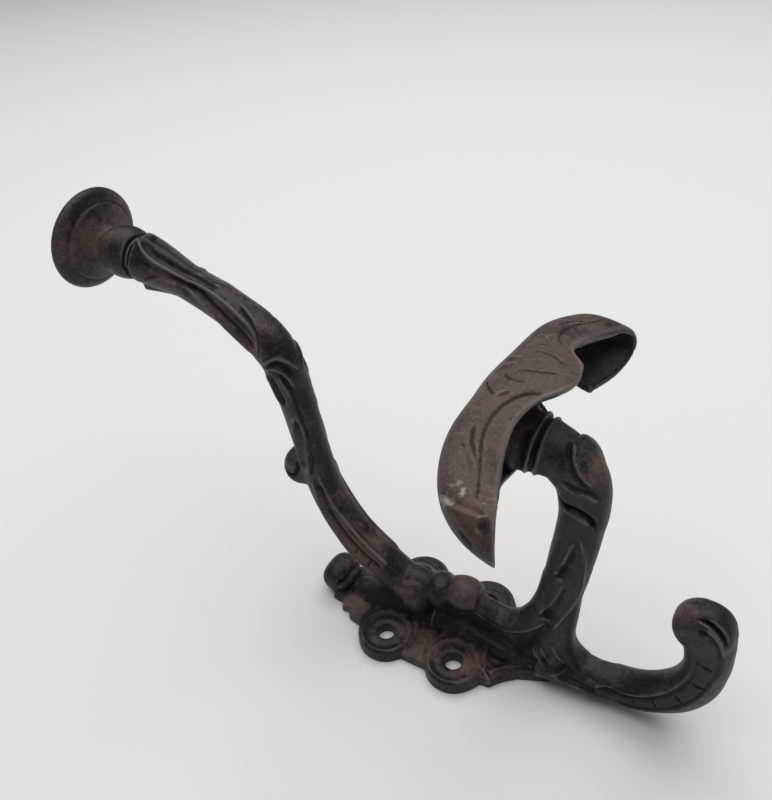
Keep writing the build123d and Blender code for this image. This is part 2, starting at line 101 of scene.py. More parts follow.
def smooth_line(points, count):
    """count points on a smooth line through the given ones: cubic pieces whose slopes are the
    central differences over the length of the chords."""
    given = np.asarray(points, float)
    place = np.append(0, np.cumsum(np.linalg.norm(np.diff(given, axis=0), axis=1)))
    slope = np.gradient(given, place, axis=0)
    at = np.linspace(0, place[-1], count)
    i = np.clip(np.searchsorted(place, at, side="right") - 1, 0, len(given) - 2)
    gap = (place[i + 1] - place[i])[:, None]
    t = (at - place[i])[:, None] / gap
    start = (1 + 2 * t) * (1 - t) ** 2 * given[i] + t * (1 - t) ** 2 * gap * slope[i]
    return start + t**2 * (3 - 2 * t) * given[i + 1] - t**2 * (1 - t) * gap * slope[i + 1]


def fade(x):
    """A smooth step: 0 below 0, 1 above 1, and the cubic 3 x^2 - 2 x^3 between."""
    x = np.clip(x, 0, 1)
    return x * x * (3 - 2 * x)


def turned_rings(at, axis, profile, size=96):
    """Rings of a turned form: each (distance along the axis, radius) of the profile is a circle
    square to the axis, which lies in the middle plane or stands on it."""
    axis = np.asarray(axis, float) / np.linalg.norm(axis)
    u = np.array([0.0, 1.0, 0.0]) if abs(axis[1]) < 0.5 else np.array([1.0, 0.0, 0.0])
    v = np.cross(axis, u)
    a = np.linspace(0, 2 * np.pi, size, endpoint=False)[:, None]
    along, radius = np.asarray(profile, float).T[:, :, None, None]
    return np.asarray(at, float) + along * axis + radius * (np.cos(a) * u + np.sin(a) * v)


def bore(form):
    """Drills the four screw holes through a form."""
    deep = [(-9, SCREW_HOLE_R), (30, SCREW_HOLE_R)]
    for x, y in SCREWS:
        drill = skin("drill", turned_rings((x, y, 0), (0, 0, 1), deep, size=64))
        drills.append(forms.pop())
        cut = form.modifiers.new("screw hole", "BOOLEAN")
        cut.operation, cut.solver, cut.object = "DIFFERENCE", "EXACT", drill
        drill.hide_render = drill.hide_viewport = True


def drum(half_length, radius, flat=1.0, full=1.0, count=60):
    """Profile of a drum with rounded ends, or of a ball: at angle a it lies half_length cos a along
    the axis and radius sin a from it. Powers below 1, flat and full, square it."""
    a = np.linspace(0.04, np.pi - 0.04, count)
    along = -np.sign(np.cos(a)) * np.abs(np.cos(a)) ** flat
    return np.stack([half_length * along, radius * np.sin(a) ** full], -1)


# The outline of one side and its mirror image, at even steps; then the same outline, drawn in a
# little towards the front, at each height of the plate.
edge = np.array(PLATE_EDGE)
edge = np.vstack([edge, edge[-2:0:-1] * (1, -1)])
corner = np.append(0, np.cumsum(np.linalg.norm(np.diff(edge, axis=0, append=edge[:1]), axis=1)))
along = np.linspace(0, corner[-1], 400, endpoint=False)
edge = np.stack([np.interp(along, corner, np.append(edge[:, k], edge[0, k])) for k in (0, 1)], -1)
levels = [np.column_stack([edge * scale, np.full(len(edge), z)]) for z, scale in PLATE_LEVELS]
bore(skin("plate leaf", levels))

# Half an oval at each place along the spine, given as x, half width and height.
x, half_width, height = smooth_line(SPINE, count=60).T[:, :, None]
a = np.linspace(0, 2 * np.pi, 72, endpoint=False)
skin("spine", np.stack([x + 0 * a, half_width * np.sin(a), np.maximum(height * np.cos(a), 0)], -1))
skin("plate roll", turned_rings(ROLL_AT, (0, 1, 0), drum(ROLL_HALF_LENGTH, ROLL_R, 0.75, 0.6)))


RUN_OUT = 3.5


def carve(points, normals, marks):
    """Height of some carving at each point. A mark is a kind, a height, a width and a smooth line
    on the surface. With d the distance from the line, square to it in the surface and positive on
    its left: a ridge adds height exp(-(d / width)^2), a groove takes it away, and a leaf adds
    height exp(-d / width) on the left, behind a sharp edge with a shallow groove before it. All
    run out in a narrowing point of about 3.5 mm at each end."""
    total = np.zeros(len(points))
    for kind, height, width, line in marks:
        curve = smooth_line(line, 9 * len(line))
        slope = np.gradient(curve, axis=0)
        start, step = curve[:-1], np.diff(curve, axis=0)
        long = (step**2).sum(1)
        reach = 1.5 * width + 2.0 if kind == "leaf" else 2.6 * width + 1.2
        box = ((points > curve.min(0) - reach) & (points < curve.max(0) + reach)).all(1)
        close = np.flatnonzero(box)
        p, n = points[close], normals[close]

        # The nearest place on the line: k is the piece it is on, and t the share along that piece.
        gone = p @ step.T - (start * step).sum(1)
        t = np.clip(gone / long, 0, 1)
        far = (p**2).sum(1)[:, None] - 2 * p @ start.T + (start**2).sum(1) - 2 * t * gone + t * t * long
        k = far.argmin(1)
        t = t[np.arange(len(p)), k][:, None]
        away = p - start[k] - t * step[k]
        across = np.cross(n, (1 - t) * slope[k] + t * slope[k + 1])
        d = (away * across).sum(1) / np.linalg.norm(across, axis=1)

        # A mark narrows and fades towards its ends, and fades off the surface and at its reach.
        share = (k + t[:, 0]) / len(step)
        point = np.clip(RUN_OUT / np.sqrt(long).sum(), 0.08, 0.4)
        kept = fade(share / point) * fade((1 - share) / point)
        d = d / (0.45 + 0.55 * kept)
        kept = kept * fade((2.4 - np.abs((away * n).sum(1))) / 0.8)
        kept = kept * fade((reach - np.linalg.norm(away, axis=1)) / (0.3 * reach))
        if kind == "leaf":
            shape = fade(d + 0.5) * np.exp(-np.maximum(d, 0) / width)
            shape -= 0.4 * np.exp(-(((d + 0.9) / 0.6) ** 2))
        else:
            shape = np.exp(-((d / width) ** 2)) * (-1 if kind == "groove" else 1)
        total[close] += height * kept * shape
    return total


plate_marks = [
    # The trough between the rolled end and the plate, and the fold beside the ball of the root.
    ("groove", 1.9, 1.5, [(-41.5, -7.5, 8), (-39.5, -7.5, 9), (-37.5, -4.5, 9.5), (-37, 0, 10),
                          (-37, 4.5, 10)]),
    ("ridge", 1.0, 0.6, [(1, -3.5, 14.5), (0.5, -4.5, 10), (1, -7, 4.5)]),
    # A channel along the spine, under the bar.
    ("groove", 0.9, 1.4, [(3, -5.5, 7), (7, -3.5, 11), (13.5, -3.5, 12.5), (20, -4, 11), (33, -4.5, 9),
                          (37, -4, 8)]),
    # Raised edges where the plate narrows towards its foot, with a hollow between them.
    ("ridge", 0.6, 0.6, [(22, -12.5, 5.5), (25.5, -13.5, 4.5), (27.5, -15, 4), (29, -16, 2.5)]),
    ("ridge", 0.5, 0.6, [(23.5, -10.5, 5), (27.5, -12.5, 4), (29, -10, 4), (35, -6, 4), (38.5, -5, 4.5)]),
    ("groove", 0.6, 1.2, [(25, -8, 4.5), (28, -8.5, 4), (31, -5.5, 5)]),
    # The palmette at the foot: three ribs side by side, a rib below them and the leaf that ends it.
    ("ridge", 0.7, 0.8, [(39, -5, 18.5), (41, -5, 15), (43, -6, 12), (46, -6.5, 10.5)]),
    ("ridge", 0.7, 0.8, [(42.5, -5, 21.5), (44, -5, 17), (45.5, -5.5, 14), (48.5, -6, 13.5)]),
    ("ridge", 0.7, 0.8, [(46, -5.5, 25.5), (47.5, -5.5, 21.5), (50, -5, 17), (53, -4, 13.5)]),
    ("ridge", 0.6, 0.9, [(37, -4, 8), (40, -4.5, 5), (44, -7.5, 7), (47.5, -7, 8)]),
    ("leaf", 0.6, 2.4, [(52.5, -3.5, 16), (51, -6, 12), (47, -7, 9.5), (43.5, -6.5, 9)]),
]


# ---- Scroll bosses ----------------------------------------------------------------------------
# Round each screw hole stands a dished boss: a thin bevelled rim, a ring-shaped hollow and a
# raised seat for the screw head. A second, lower turn of the scroll winds round its inner side.

BOSS = [(0.0, 10.5), (4.6, 10.2), (5.4, 9.8), (5.7, 9.3), (5.7, 8.7), (5.4, 8.3), (5.1, 7.9), (4.9, 7.4),
        (4.9, 6.7), (5.0, 6.2), (5.2, 5.7), (5.2, 5.1), (5.1, 4.2), (4.4, SCREW_HOLE_R), (0.0, SCREW_HOLE_R)]
VOLUTE = [(0.0, 11.8), (4.0, 11.6), (4.6, 11.2), (4.8, 10.7), (4.8, 0.5)]
VOLUTE_SHIFT = 2.0

for x, y in SCREWS:
    skin("boss", turned_rings((x, y, 0), (0, 0, 1), BOSS, size=128), loop=True)
    inner = y - np.sign(y) * VOLUTE_SHIFT
    bore(skin("volute", turned_rings((x, inner, 0), (0, 0, 1), VOLUTE, size=128)))


# ---- Root -------------------------------------------------------------------------------------
# Where the arms leave the plate the founder's pattern has a turned row, like the foot of a
# chair leg: a ball with a lobe on each side, a flat collar and a long bead, on a tapering core.

BALL_AT, BALL_R = (-8.0, 0.0, 18.6), 8.2
LOBE_AT, LOBE_R = (-6.4, 2.4, 15.4), 6.5
COLLAR_AT = (2.6, 0.0, 21.4)
BEAD_AT = (11.8, 0.0, 24.4)
ROOT_AXIS = (19.8, 0.0, 6.4)
CORE = [(0.0, 6.6), (10.0, 5.7), (20.8, 5.2)]


def barrel(radius, half_length, end_radius, count=24):
    """Profile of a bulging bead: its radius falls with the square of the distance from the middle."""
    along = np.linspace(-half_length, half_length, count)
    return np.stack([along, radius - (radius - end_radius) * (along / half_length) ** 2], -1)


skin("ball", turned_rings(BALL_AT, (1, 0, 0), drum(BALL_R, BALL_R)))
for side in (-1, 1):
    skin("lobe", turned_rings(np.array(LOBE_AT) * (1, side, 1), (1, 0, 0), drum(LOBE_R, LOBE_R)))
skin("collar", turned_rings(COLLAR_AT, ROOT_AXIS, barrel(radius=7.0, half_length=2.8, end_radius=6.2)))
skin("bead", turned_rings(BEAD_AT, (1, 0, 0), barrel(radius=6.5, half_length=5.6, end_radius=4.9)))
skin("core", turned_rings(BALL_AT, ROOT_AXIS, CORE))

root_marks = [
    # A soft dent along the ball.
    ("groove", 0.4, 1.2, [(-12.5, -5.5, 23), (-9.5, -4.5, 25), (-6, -3.5, 25), (-2.5, -3.5, 24.5)]),
]


# ---- Upper arm --------------------------------------------------------------------------------
# A long arm that rises from the root, bends at an elbow and reaches out to the knob. An acanthus
# leaf is wrapped round it, and a small scroll curls out underneath.

UPPER_LINE = [(-8.0, 15.0), (-22.0, 24.5), (-35.5, 36.5), (-43.9, 51.5), (-48.9, 73.0), (-52.4, 92.6),
              (-58.0, 109.6), (-72.4, 120.0), (-92.4, 128.2), (-110.6, 133.2)]
UPPER_HALF_THICK, UPPER_HALF_WIDE = 6.5, 5.7
UPPER_SCALE = np.array([1.2, 1.18, 1.13, 1.02, 0.98, 1.03, 1.17, 1.0, 0.98, 1.38])
LEAF_TIP = [(-111.2, 121.8), (-111.4, 130.0), (-104.0, 130.0), (-96.0, 128.0), (-84.0, 121.0), (-95.0, 122.8),
            (-103.0, 122.6)]
CURL = [(-53.7, 70.3), (-56.8, 68.4), (-59.8, 64.2), (-61.2, 60.3), (-61.4, 56.3), (-59.8, 53.2),
        (-56.6, 52.2), (-52.3, 53.0), (-46.8, 52.0), (-44.6, 59.1), (-45.6, 67.4), (-49.4, 74.0)]
CURL_EYE_AT = (-57.0, 0.0, 62.4)
CURL_EYE = [(3.9, 0.1), (3.9, 1.4), (3.6, 2.3), (2.8, 3.0)]
LEAF_HALF_WIDTH = 3.2
BLADE_ROUND, BLADE_FACE = 0.7, 0.86


def limb_rings(line, half_thick, half_wide, count, size=72):
    """Oval rings square to a line of (x, z) points in the middle plane. A ring's point at angle a
    lies thick cos a to the front of the line and wide sin a across it, with both sizes given at
    even steps along it."""
    middle = smooth_line([(x, 0, z) for x, z in line], count)
    along = np.gradient(middle, axis=0)
    front = np.stack([along[:, 2], 0 * along[:, 0], -along[:, 0]], -1)
    front /= np.linalg.norm(front, axis=1)[:, None]
    share = np.linspace(0, 1, count)
    thick = np.interp(share, np.linspace(0, 1, len(half_thick)), half_thick)[:, None, None]
    wide = np.interp(share, np.linspace(0, 1, len(half_wide)), half_wide)[:, None, None]
    a = np.linspace(0, 2 * np.pi, size, endpoint=False)[:, None]
    return middle[:, None] + thick * np.cos(a) * front[:, None] + wide * np.sin(a) * np.array([0, 1, 0])


def blade_rings(edge, half_width, count=120):
    """Rings of a flat blade in the middle plane: a smooth closed outline of (x, z) points, drawn
    in towards its middle at both faces so that its edge is rounded."""
    loop = smooth_line([*edge, edge[0]], count + 1)[:-1]
    centre = loop.mean(0)
    rings = []
    for y, scale in ((-half_width, BLADE_FACE), (BLADE_ROUND - half_width, 1), (half_width - BLADE_ROUND, 1),
                     (half_width, BLADE_FACE)):
        x, z = (centre + (loop - centre) * scale).T
        rings.append(np.stack([x, np.full(count, y), z], -1))
    return rings


thick, wide = UPPER_HALF_THICK * UPPER_SCALE, UPPER_HALF_WIDE * UPPER_SCALE
skin("upper arm", limb_rings(UPPER_LINE, thick, wide, count=160))
skin("leaf tip", blade_rings(LEAF_TIP, LEAF_HALF_WIDTH))
skin("curl", blade_rings(CURL, LEAF_HALF_WIDTH))
both_ends = CURL_EYE + [(-along, radius) for along, radius in CURL_EYE[::-1]]
skin("curl eye", turned_rings(CURL_EYE_AT, (0, 1, 0), both_ends, size=64))

upper_marks = [
    # The ring cut round the arm's end, behind the bead of the knob.
    ("groove", 1.6, 0.7, [(-110.5, 4, 142), (-110, 0, 142.5), (-110.5, -4, 141.5), (-111, -7, 138),
                          (-111.5, -8.5, 133.5), (-112, -7.5, 129), (-112.5, -4, 125.5), (-112.5, 0, 124.5),
                          (-112.5, 4, 125.5)]),
    # The long leaf from the knob to the elbow: its turned edge, and the channels on both sides of it.
    ("ridge", 1.0, 0.6, [(-111, -0.5, 142), (-108.5, -2, 141), (-105.5, -3.5, 138.5), (-92, -4, 132.5),
                         (-80.5, -3.5, 129.5), (-68.5, -4, 123.5), (-60.5, -5.5, 117.5), (-59.5, -6.5, 114),
                         (-60.5, -6.5, 109.5)]),
    ("groove", 1.2, 1.4, [(-107.5, -0.5, 140.5), (-103.5, -2.5, 138.5), (-91.5, -2.5, 133.5),
                          (-83.5, -2, 131.5), (-76, -1.5, 128.5)]),
    ("groove", 1.1, 1.3, [(-105, -5.5, 136.5), (-102, -5.5, 134), (-97, -5, 132.5), (-86.5, -4.5, 130)]),
    ("groove", 1.5, 1.3, [(-88.5, -4.5, 130.5), (-82, -4.5, 128), (-77, -5, 124.5), (-64, -6.5, 115.5),
                          (-61, -6.5, 112)]),
    ("ridge", 0.7, 0.55, [(-88.5, -4.5, 130), (-82, -5.5, 125.5), (-70.5, -5.5, 115.5),
                          (-62, -6.5, 109.5)]),
    # The small leaf under the knob, and the hood over the elbow.
    ("leaf", 0.8, 2.0, [(-85.5, -5, 129), (-89, -5, 129.5), (-101, -6, 130), (-106, -5.5, 128)]),
    ("leaf", 0.8, 2.6, [(-69.5, -1, 125.5), (-61.5, -4, 121), (-58.5, -6.5, 113), (-59.5, -6, 108.5)]),
    # Two cuffs round the elbow, with a groove between them.
    ("ridge", 0.75, 0.7, [(-60.5, -5, 105), (-58.5, -6, 106.5), (-56, -6.5, 109.5), (-53.5, -5, 110.5),
                          (-51, -4, 109.5), (-49.5, -2.5, 107.5), (-48, -1, 104.5)]),
    ("groove", 0.8, 0.8, [(-57, -6.5, 107.5), (-53.5, -6, 109), (-51, -5, 107.5), (-48.5, -3, 102.5)]),
    ("ridge", 0.65, 0.7, [(-59.5, -5.5, 104.5), (-57, -6, 106.5), (-54.5, -6, 107), (-52.5, -5.5, 106),
                          (-50.5, -5, 104), (-48.5, -4, 98.5)]),
    # Below the elbow: a deep pocket and its rim, then the leaf that wraps the arm down to the curl.
    ("groove", 1.5, 1.3, [(-57.5, -6, 104.5), (-54, -6, 95.5), (-52.5, -6, 91)]),
    ("ridge", 0.7, 0.55, [(-60, -5, 104), (-58, -5, 100), (-56, -5, 94.5), (-54, -5.5, 90.5)]),
    ("leaf", 1.2, 2.4, [(-47, -5.5, 61.5), (-46, -5.5, 68), (-46, -5, 73.5), (-49.5, -5, 93.5),
                        (-50, -5, 96.5), (-53.5, -6, 106)]),
    ("groove", 1.1, 1.3, [(-50, -5.5, 88), (-49, -5.5, 83.5), (-49, -5.5, 73), (-49.5, -5.5, 63)]),
    ("ridge", 0.7, 0.6, [(-49.5, -5.5, 90.5), (-51, -5.5, 77), (-51, -5, 68), (-51.5, -4.5, 62.5)]),
    # The foot of the arm: a channel between two ridges, and two notches in the lower one.
    ("ridge", 0.8, 0.6, [(-46, -5.5, 61.5), (-44.5, -6, 50.5), (-42.5, -6, 44.5), (-39, -6.5, 39),
                         (-31, -6, 28), (-20, -6.5, 22.5)]),
    ("groove", 1.4, 1.2, [(-44, -5.5, 60), (-40.5, -6, 47.5), (-28.5, -6.5, 32.5), (-19, -6, 26)]),
    ("ridge", 0.8, 0.6, [(-44, -5, 65), (-42.5, -5, 59), (-26.5, -5, 36), (-16.5, -5, 28.5)]),
    ("groove", 0.6, 0.5, [(-31, -6.5, 29.5), (-29, -6.5, 33.5)]),
    ("groove", 0.6, 0.5, [(-26, -6.5, 25), (-23.5, -6.5, 30)]),
    # The hollow of the curl.
    ("groove", 1.4, 0.7, [(-53, -3.5, 66), (-54, -3, 61.5), (-58, -3, 56), (-59.5, -3, 56.5),
                          (-60, -3, 59)]),
]


# ---- Knob -------------------------------------------------------------------------------------
# The round hat knob: a fat collar bead, a neck that flares into a hollow-backed flange with a
# rounded rim, and a low domed face. It looks up a little from the arm.

KNOB_AT = (-119.8, 0.0, 134.2)
KNOB_AXIS = (-0.990, 0.0, 0.139)
KNOB = [(-8.4, 6.3), (3.6, 6.3), (5.0, 6.6), (6.4, 7.5), (7.6, 9.0), (8.6, 10.8), (9.4, 12.6), (9.8, 13.6),
        (10.7, 13.9), (11.0, 14.2), (10.9, 14.9), (11.4, 16.2), (12.3, 17.5), (13.4, 18.2), (14.5, 18.2),
        (15.2, 17.7), (15.7, 16.6), (16.6, 14.6), (18.2, 10.4), (19.5, 5.6), (20.1, 1.8), (20.2, 0.3)]
KNOB_BEAD_BEHIND = 2.2

skin("knob", turned_rings(KNOB_AT, KNOB_AXIS, smooth_line(KNOB, count=140), size=160))
bead = barrel(radius=9.2, half_length=6.2, end_radius=7.6)
skin("knob bead", turned_rings(KNOB_AT, KNOB_AXIS, bead - (KNOB_BEAD_BEHIND, 0)))


# ---- Middle arm -------------------------------------------------------------------------------
# A round bar runs from the bead into a shaft that stands up from the foot of the plate. Leaves
# wrap the shaft up to its elbow, where a short thick neck turns back to carry the shell.

BAR_LINE = [(14.0, 24.0), (21.5, 21.4), (27.5, 20.2), (33.5, 22.8), (38.5, 29.0), (42.5, 39.0), (45.0, 52.0)]
BAR_R = [3.6, 3.8, 4.1, 4.5, 4.8, 5.0, 5.2]
SHAFT_LINE = [(48.6, 4.0), (47.6, 20.0), (47.4, 33.0), (46.8, 46.0), (48.2, 60.0), (49.8, 74.0), (50.5, 86.0),
              (48.8, 95.5), (44.4, 101.6)]
SHAFT_HALF_THICK = [5.2, 4.7, 4.9, 6.2, 7.1, 7.2, 7.2, 8.0, 8.6]
SHAFT_HALF_WIDE = [6.4, 5.8, 5.6, 5.7, 5.8, 5.8, 6.0, 7.0, 7.8]
BRACKET = [(-6.0, 6.0), (-2.0, 17.0), (10.0, 21.0), (22.0, 18.6), (30.0, 17.4), (36.0, 21.0), (44.0, 33.0),
           (47.0, 42.0), (50.0, 34.0), (50.0, 6.0), (22.0, 5.0)]
BRACKET_HALF_WIDTH = 2.9
PALMETTE_LINE = [(33.0, 8.0), (39.0, 12.0), (44.0, 19.0), (47.4, 30.0)]
PALMETTE_HALF_THICK = [4.0, 5.4, 5.8, 4.4]
PALMETTE_HALF_WIDE = [3.6, 5.2, 5.9, 5.4]
ELBOW_AT, ELBOW_R = (46.8, 0.0, 100.2), 7.7
NECK_LINE = [(47.0, 100.0), (41.0, 102.6), (34.0, 104.0), (27.0, 105.2), (20.4, 108.0)]
NECK_HALF_THICK = [7.2, 7.8, 8.8, 10.4, 10.4]
NECK_HALF_WIDE = [7.6, 8.4, 10.2, 11.8, 12.0]

skin("bar", limb_rings(BAR_LINE, BAR_R, BAR_R, count=60))
skin("shaft", limb_rings(SHAFT_LINE, SHAFT_HALF_THICK, SHAFT_HALF_WIDE, count=120))
skin("bracket", blade_rings(BRACKET, BRACKET_HALF_WIDTH))
skin("palmette", limb_rings(PALMETTE_LINE, PALMETTE_HALF_THICK, PALMETTE_HALF_WIDE, count=40))
skin("elbow", turned_rings(ELBOW_AT, (1, 0, 0), drum(ELBOW_R, ELBOW_R)))
skin("neck", limb_rings(NECK_LINE, NECK_HALF_THICK, NECK_HALF_WIDE, count=40))

middle_marks = [
    # The hood over the elbow and the lip under it.
    ("leaf", 1.4, 2.2, [(45, -0.5, 109), (47, -5, 106), (51, -6, 100.5), (53.5, -5, 97.5)]),
    ("leaf", 1.0, 1.8, [(55.5, -3.5, 92.5), (51.5, -6, 96.5), (49, -7, 97), (44.5, -7, 100)]),
    # A deep wavy cut round the top of the shaft, with a soft edge above it.
    ("groove", 2.2, 0.8, [(43, -4.5, 92.5), (43.5, -4.5, 90.5), (45.5, -5.5, 89), (50.5, -7, 89),
                          (53, -6.5, 87.5), (56, -4, 81.5)]),
    ("ridge", 0.6, 0.9, [(45, -5, 87), (48, -6.5, 87), (50.5, -6.5, 86.5), (54, -6, 83.5)]),
    # The stem that bends down the shaft.
    ("ridge", 0.9, 0.8, [(52, -6, 79.5), (53.5, -4.5, 65.5), (52, -3.5, 49.5), (48.5, -5.5, 37.5),
                         (46, -5.5, 31)]),
    # Two leaves on the stem, one above the other: a blade with its hollow and its vein, and its tip.
    ("leaf", 0.8, 3.0, [(45, -5.5, 56), (48.5, -6, 66.5), (51, -6, 77)]),
    ("groove", 1.1, 1.7, [(47, -5.5, 58.5), (48, -6, 61.5), (49, -6, 65)]),
    ("groove", 0.6, 0.9, [(48.5, -6, 63), (50, -6, 67), (51, -6, 72)]),
    ("leaf", 0.7, 1.8, [(49.5, -5.5, 58), (48, -6, 58), (46.5, -5.5, 57.5), (45, -5.5, 55.5)]),
    ("leaf", 0.8, 3.0, [(40.5, -4.5, 34), (46, -5.5, 45.5), (49, -5.5, 56.5)]),
    ("groove", 1.1, 1.7, [(42.5, -4.5, 34.5), (44.5, -5, 37.5), (46, -5.5, 41.5)]),
    ("groove", 0.6, 0.9, [(45.5, -5.5, 39.5), (47.5, -5.5, 45), (49, -5.5, 50.5)]),
    ("leaf", 0.7, 1.8, [(46, -5.5, 36), (43.5, -4.5, 34.5), (42, -4.5, 34.5), (40.5, -4.5, 34)]),
    # The lower edge of the bar.
    ("ridge", 0.7, 0.7, [(16, -4.5, 23), (20, -4, 19.5), (29, -4, 18), (33.5, -4.5, 20.5),
                         (41.5, -4.5, 28.5), (44.5, -5, 31.5)]),
    # Two hoops round the neck, the groove between them and a wide one behind.
    ("ridge", 0.8, 0.7, [(36.5, 3, 112.5), (36.5, -3, 112), (36, -6.5, 110.5), (36, -8.5, 108),
                         (35.5, -9.5, 104), (34.5, -7.5, 98), (34, -5, 96.5)]),
    ("ridge", 0.7, 0.7, [(38.5, 3, 112), (38.5, -3, 111.5), (38.5, -6, 110), (38.5, -8, 107.5),
                         (38, -9, 103.5), (37, -7, 98), (36.5, -5, 96.5)]),
    ("groove", 1.3, 0.8, [(37.5, 3, 112), (37.5, -3, 112), (37.5, -6, 110.5), (37, -8, 107.5),
                          (37, -9.5, 104), (35.5, -7.5, 98), (35, -5, 96.5)]),
    ("groove", 1.4, 1.3, [(34, -3.5, 112.5), (34, -7, 110.5), (34, -9.5, 107.5), (33, -9.5, 100),
                          (32.5, -7.5, 97.5)]),
]


# ---- Shell ------------------------------------------------------------------------------------
# The rest for a hat: a wide hollow shell on top of the neck, 2.6 mm thick, with petals that run
# over it from a knot in the middle and a lobe that hangs over the front. It sits a little askew.

# Sections across the shell: y, then x and z of the front rim, of the crown and of the rear rim.
SHELL = [(0.0, 45.4, 128.4, 17.6, 119.2, 30.4, 93.4), (7.0, 43.4, 128.6, 18.0, 119.0, 30.2, 94.2),
         (13.0, 39.2, 128.0, 18.8, 118.6, 30.6, 95.9), (20.0, 36.4, 126.1, 19.7, 118.8, 32.2, 97.8),
         (30.0, 37.2, 124.1, 21.2, 119.4, 35.6, 99.2), (40.0, 40.2, 122.4, 24.0, 118.7, 39.5, 100.5),
         (48.0, 43.2, 120.8, 28.3, 117.6, 43.2, 102.2), (53.0, 45.2, 118.2, 33.8, 115.6, 45.8, 106.0),
         (55.6, 46.3, 115.1, 40.2, 113.4, 46.7, 109.4), (56.5, 46.7, 113.2, 44.4, 112.6, 46.9, 111.2)]
SHELL_WALL = 2.6
SHELL_FULLNESS = 0.88
SHELL_NOTCH, NOTCH_FROM, NOTCH_TO = 0.4, 20.0, 37.6
SHELL_TIP, SHELL_TIP_FILL = 54.0, 40.0
SHELL_TILT = np.radians(-4.1)
SHELL_CENTRE = (0.0, 115.0)


def shell_arc(sections, wall, count=72):
    """One arc per section from the front rim over the crown to the rear rim: a squared ellipse
    about the middle of the rims, drawn in all round by the wall. Between the foot of the neck and
    the wing, the arc ends short and leaves a notch in the rear rim."""
    front, crown, rear = (sections[:, [k, 0, k + 1]] for k in (1, 3, 5))
    middle = (front + rear) / 2
    y = np.abs(sections[:, 0])
    end = np.pi * (1 - SHELL_NOTCH * fade((NOTCH_TO - y) / 4.0) * fade((y - NOTCH_FROM) / 5.0))
    a = (np.linspace(0, 1, count) * end[:, None])[..., None]
    arc = middle[:, None]
    for reach, share in ((front - middle, np.cos(a)), (crown - middle, np.sin(a))):
        length = np.linalg.norm(reach, axis=1)[:, None]
        kept = reach * np.clip(1 - wall[:, None] / length, 0.02, 1)
        arc = arc + np.sign(share) * np.abs(share) ** SHELL_FULLNESS * kept[:, None]
    return arc


def tilted(vectors, angle, centre=(0.0, 0.0)):
    """(x, y, z) points or vectors turned by an angle about a line along x through (y, z)."""
    turned = np.array(vectors, float)
    turn = [[np.cos(angle), np.sin(angle)], [-np.sin(angle), np.cos(angle)]]
    turned[..., 1:] = (turned[..., 1:] - centre) @ turn + centre
    return turned


# The outer skin, then the inner one back again; at both tips the wall fills the hollow.
half = np.array(SHELL)
sections = smooth_line(np.vstack([half[:0:-1] * [-1, 1, 1, 1, 1, 1, 1], half]), count=320)
wall = SHELL_WALL + SHELL_TIP_FILL * fade((np.abs(sections[:, 0]) - SHELL_TIP) / 2.0)
shell = np.concatenate([shell_arc(sections, 0 * wall), shell_arc(sections, wall)[:, ::-1]], 1)
skin("shell", tilted(shell, SHELL_TILT, SHELL_CENTRE))

shell_marks = [
    # The knot in the middle: a stem, and short strokes that spread from it on both sides.
    ("groove", 0.5, 0.4, [(28.5, -5, 130.5), (36, -3.5, 131), (39, -2, 130.5), (41.5, -1, 130)]),
    ("ridge", 0.7, 0.45, [(23, -5, 127), (24, -2.5, 127.5), (26.5, -1, 129), (30, -1, 130.5)]),
    ("groove", 0.5, 0.4, [(26.5, -6, 129.5), (29.5, -9, 130.5), (33, -9.5, 131), (35.5, -9, 131)]),
    ("groove", 0.5, 0.4, [(22.5, -7.5, 126.5), (25.5, -13.5, 129), (28, -16.5, 130), (29, -17.5, 129.5)]),
    ("ridge", 0.7, 0.45, [(28.5, -17.5, 129.5), (29.5, -15.5, 130), (31.5, -13.5, 130.5)]),
    # The rib of the wing, cut along one side and rounded on the other, from the lobe to the tip.
    ("groove", 0.4, 0.4, [(40, -9.5, 129.5), (34, -15, 129.5), (32, -19, 129), (31.5, -27.5, 128.5),
                          (37, -43.5, 126.5), (39.5, -50.5, 124.5)]),
    ("ridge", 0.25, 0.8, [(38.5, -8.5, 130), (32.5, -15, 130), (31, -19, 129.5), (30, -23.5, 129),
                          (33, -37, 127.5)]),
    # Petal lines beside the rib.
    ("groove", 0.5, 0.4, [(28.5, -28, 129), (30.5, -34, 128.5), (35, -39.5, 127)]),
    ("groove", 0.3, 0.7, [(27, -33.5, 128.5), (29, -36, 128.5), (33.5, -40.5, 127.5), (36, -48.5, 126)]),
    ("groove", 0.4, 0.5, [(25.5, -3, 129), (25.5, -13, 129), (25, -22.5, 129)]),
    # The fold across the wing's tip, and the two dents behind it.
    ("leaf", 0.7, 2.5, [(43.5, -50, 123.5), (41.5, -51.5, 123.5), (36.5, -52, 123.5), (31.5, -50.5, 123),
                        (28.5, -47.5, 123)]),
    ("groove", 0.5, 0.8, [(36.5, -53.5, 121), (38, -54.5, 118.5), (40, -55.5, 117.5), (42.5, -56, 115.5)]),
    ("groove", 1.0, 1.8, [(41, -54, 121.5), (42.5, -53.5, 122), (44, -53, 122)]),
    # The lip of the front rim.
    ("ridge", 0.6, 0.55, [(45, -0.5, 129), (44, -4.5, 129), (42.5, -7.5, 129), (39, -13, 128.5),
                          (36, -20, 126.5), (36.5, -25, 126), (37, -30, 125), (40, -40, 123.5),
                          (43, -48, 121.5), (44.5, -53, 119)]),
]


# ---- Lower hook -------------------------------------------------------------------------------
# The coat hook at the foot: a tapering arm that sweeps out and up and ends in a fat scroll, with
# a sunk and notched panel along each side. A crook fills the corner between it and the shaft.

